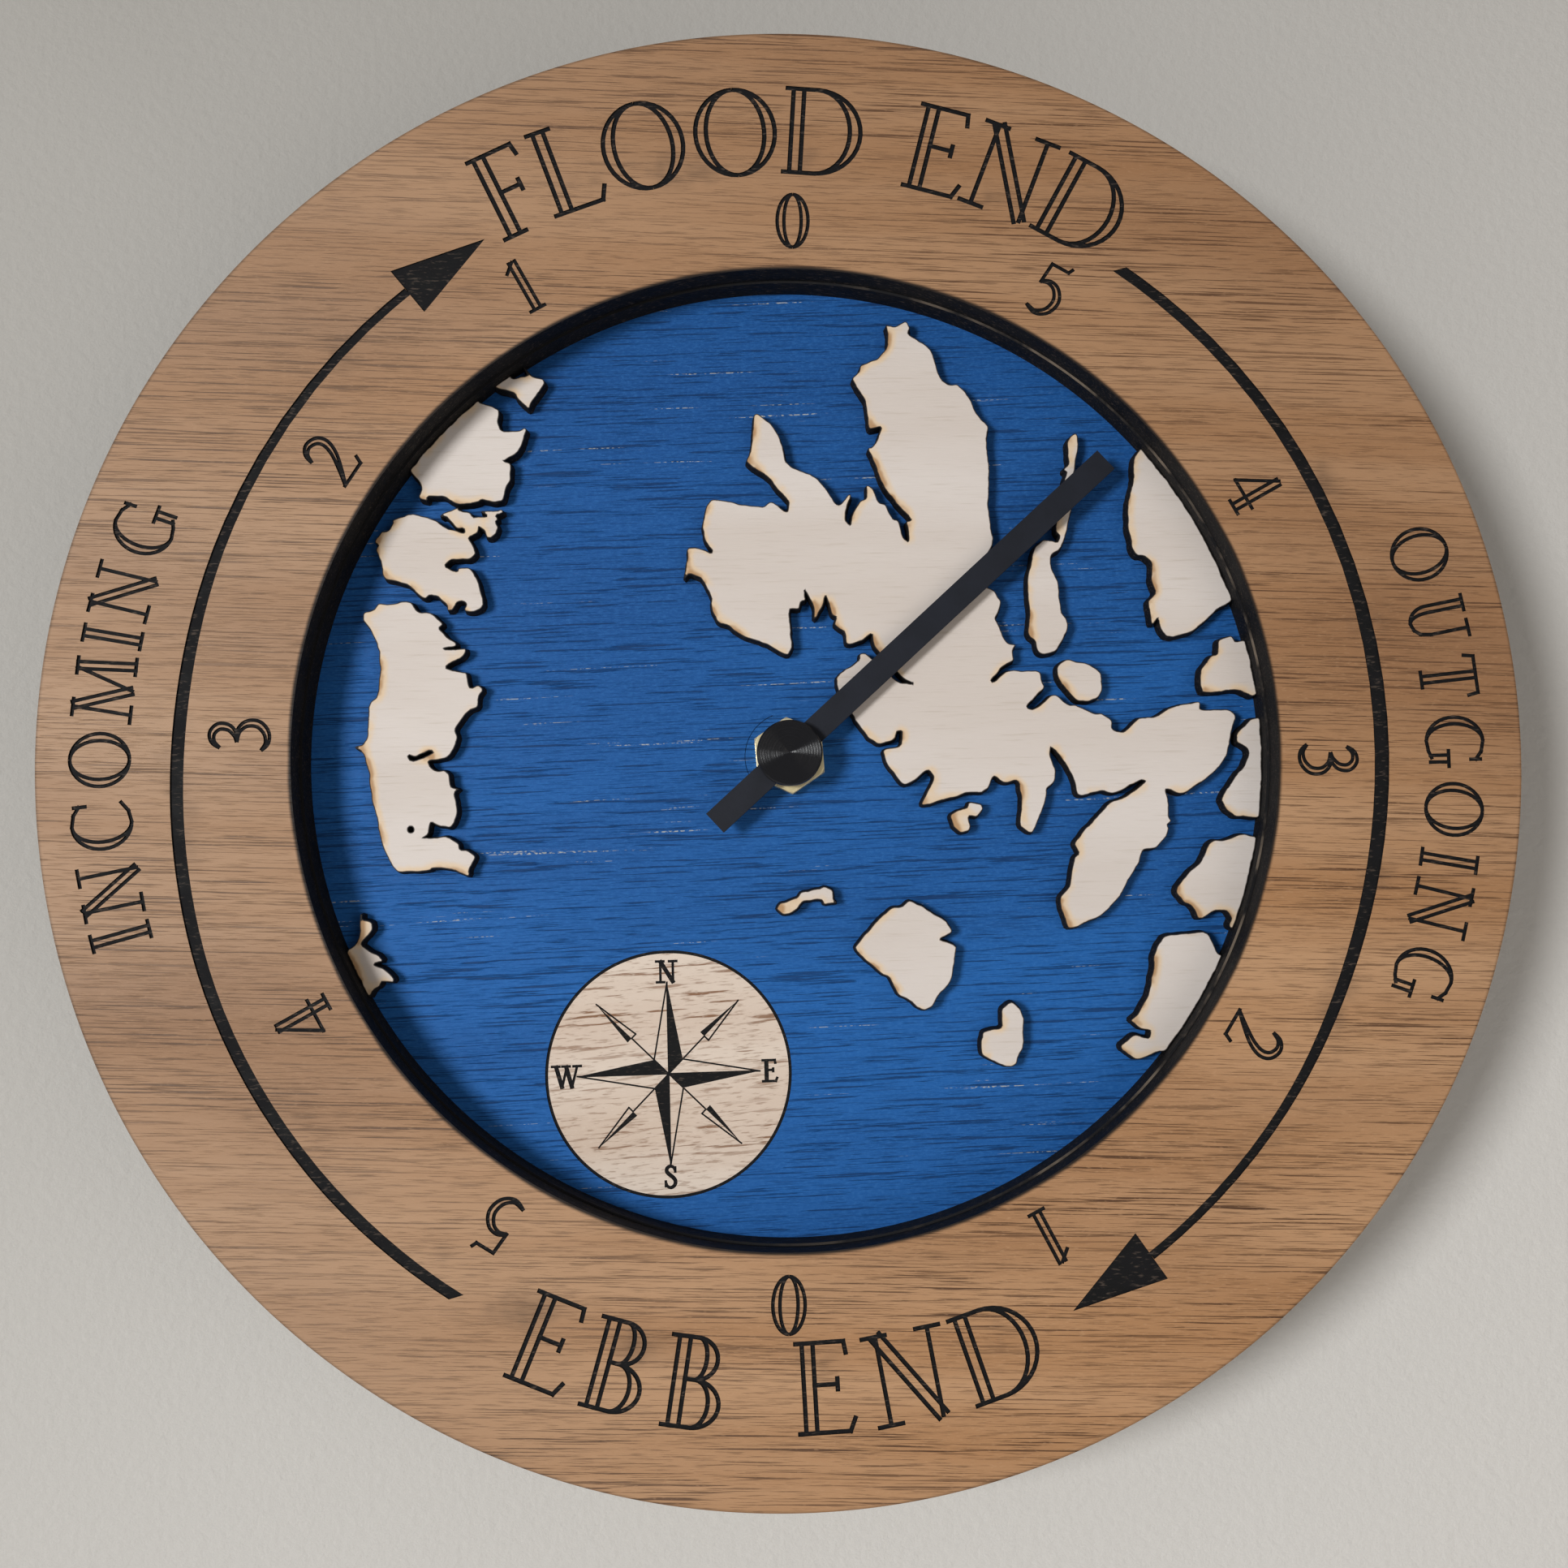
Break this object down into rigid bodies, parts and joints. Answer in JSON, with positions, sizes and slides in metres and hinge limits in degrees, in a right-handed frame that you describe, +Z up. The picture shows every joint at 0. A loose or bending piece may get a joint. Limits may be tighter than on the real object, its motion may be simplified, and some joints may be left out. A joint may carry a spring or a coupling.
{
  "type": "tide clock",
  "caption": "Round layered wooden wall clock that shows the tide: an engraved ring round a recessed blue dial with raised land, a baton hand and a quartz movement behind.",
  "frame": {"origin": "point on the wall behind the hand's axis", "axes": "+Y into the wall, away from the face; +X to the right seen from the front; +Z up"},
  "size_m": [0.3, 0.037, 0.3],
  "materials": {
    "ring_wood": "oiled veneer, laser engraved, charred edges",
    "spacer_wood": "bare plywood with a charred inner edge",
    "dial_paint": "plywood with thin blue paint, bare wood at the back and the compass",
    "land_wood": "bare birch plywood with scorched edges",
    "case_plastic": "fine moulded texture",
    "battery_can": "satin wrapped steel can",
    "contact_metal": "bright plated spring strip",
    "brass": "bright turned brass",
    "hanger_steel": "zinc plated",
    "gasket_rubber": "matte",
    "hand_black": "matte black lacquer",
    "cap_black": "black anodised, turned face",
    "tube_brass": "turned brass",
    "gear_plastic": "natural moulded",
    "knob_plastic": "moulded",
    "magnet": "sintered",
    "stator_iron": "punched sheet",
    "bobbin_plastic": "moulded",
    "copper_wire": "enamelled copper wire",
    "board": "solder mask",
    "chip_resin": "poured resin",
    "crystal_can": "bright can"
  },
  "bodies": {
    "clock": {"front_ring": "ring_wood", "spacer_ring": "spacer_wood", "dial_disc": "dial_paint", "movement_case": "case_plastic", "rear_cover": "case_plastic", "contact_minus": "contact_metal", "contact_plus": "contact_metal", "threaded_bush": "brass", "hanger_plate": "hanger_steel", "rubber_gasket": "gasket_rubber", "hex_nut": "brass", "stator": "stator_iron", "coil_bobbin": "bobbin_plastic", "coil_winding": "copper_wire", "circuit_board": "board", "driver_chip": "chip_resin", "quartz_crystal": "crystal_can", "nw_islet": "land_wood", "west_coast_top": "land_wood", "west_coast_middle": "land_wood", "west_coast_long": "land_wood", "west_skerry": "land_wood", "main_island": "land_wood", "narrow_island": "land_wood", "round_islet": "land_wood", "east_coast_upper": "land_wood", "east_coast_point": "land_wood", "east_coast_middle": "land_wood", "east_coast_lower": "land_wood", "southeast_coast": "land_wood", "inshore_islet": "land_wood", "south_skerry": "land_wood", "south_island": "land_wood", "south_islet": "land_wood"},
    "hand": {"tide_hand": "hand_black", "hand_cap": "cap_black", "hour_wheel": "tube_brass"},
    "minute": {"minute_wheel": "gear_plastic"},
    "setting": {"cannon_arbor": "tube_brass", "setting_knob": "knob_plastic"},
    "centre": {"centre_wheel": "gear_plastic"},
    "third": {"third_wheel": "gear_plastic"},
    "fourth": {"fourth_wheel": "gear_plastic"},
    "fifth": {"fifth_wheel": "gear_plastic"},
    "rotor": {"rotor_pinion": "gear_plastic", "rotor_magnet": "magnet"},
    "battery": {"battery": "battery_can"}
  },
  "joints": [
    {"name": "hand_turn", "type": "hinge", "parent": "clock", "child": "hand", "pos_m": [0, -0.03, 0], "axis": [0, 1, 0], "continuous": true},
    {"name": "minute_turn", "type": "hinge", "parent": "clock", "child": "minute", "pos_m": [0.00714, -0.012, -0.0026], "axis": [0, 1, 0], "continuous": true},
    {"name": "setting_turn", "type": "hinge", "parent": "clock", "child": "setting", "pos_m": [0, -0.01, 0], "axis": [0, 1, 0], "continuous": true},
    {"name": "fifth_turn", "type": "hinge", "parent": "clock", "child": "fifth", "pos_m": [0.00647, -0.008, 0.01693], "axis": [0, 1, 0], "continuous": true},
    {"name": "rotor_turn", "type": "hinge", "parent": "clock", "child": "rotor", "pos_m": [0.01257, -0.008, 0.01471], "axis": [0, 1, 0], "continuous": true},
    {"name": "fourth_turn", "type": "hinge", "parent": "clock", "child": "fourth", "pos_m": [-0.00068, -0.008, 0.01693], "axis": [0, 1, 0], "continuous": true},
    {"name": "third_turn", "type": "hinge", "parent": "clock", "child": "third", "pos_m": [-0.00522, -0.008, 0.00905], "axis": [0, 1, 0], "continuous": true},
    {"name": "centre_turn", "type": "hinge", "parent": "clock", "child": "centre", "pos_m": [0, -0.009, 0], "axis": [0, 1, 0], "continuous": true},
    {"name": "battery_slide", "type": "slide", "parent": "clock", "child": "battery", "axis": [0, 1, 0], "range_m": [0, 0.03]}
  ],
  "couplings": [
    {"joint": "minute_turn", "follows": "hand_turn", "ratio": -4},
    {"joint": "setting_turn", "follows": "hand_turn", "ratio": 12},
    {"joint": "rotor_turn", "follows": "fifth_turn", "ratio": -7},
    {"joint": "fourth_turn", "follows": "fifth_turn", "ratio": -0.14286},
    {"joint": "third_turn", "follows": "fifth_turn", "ratio": 0.017857},
    {"joint": "centre_turn", "follows": "fifth_turn", "ratio": -0.0037594}
  ]
}
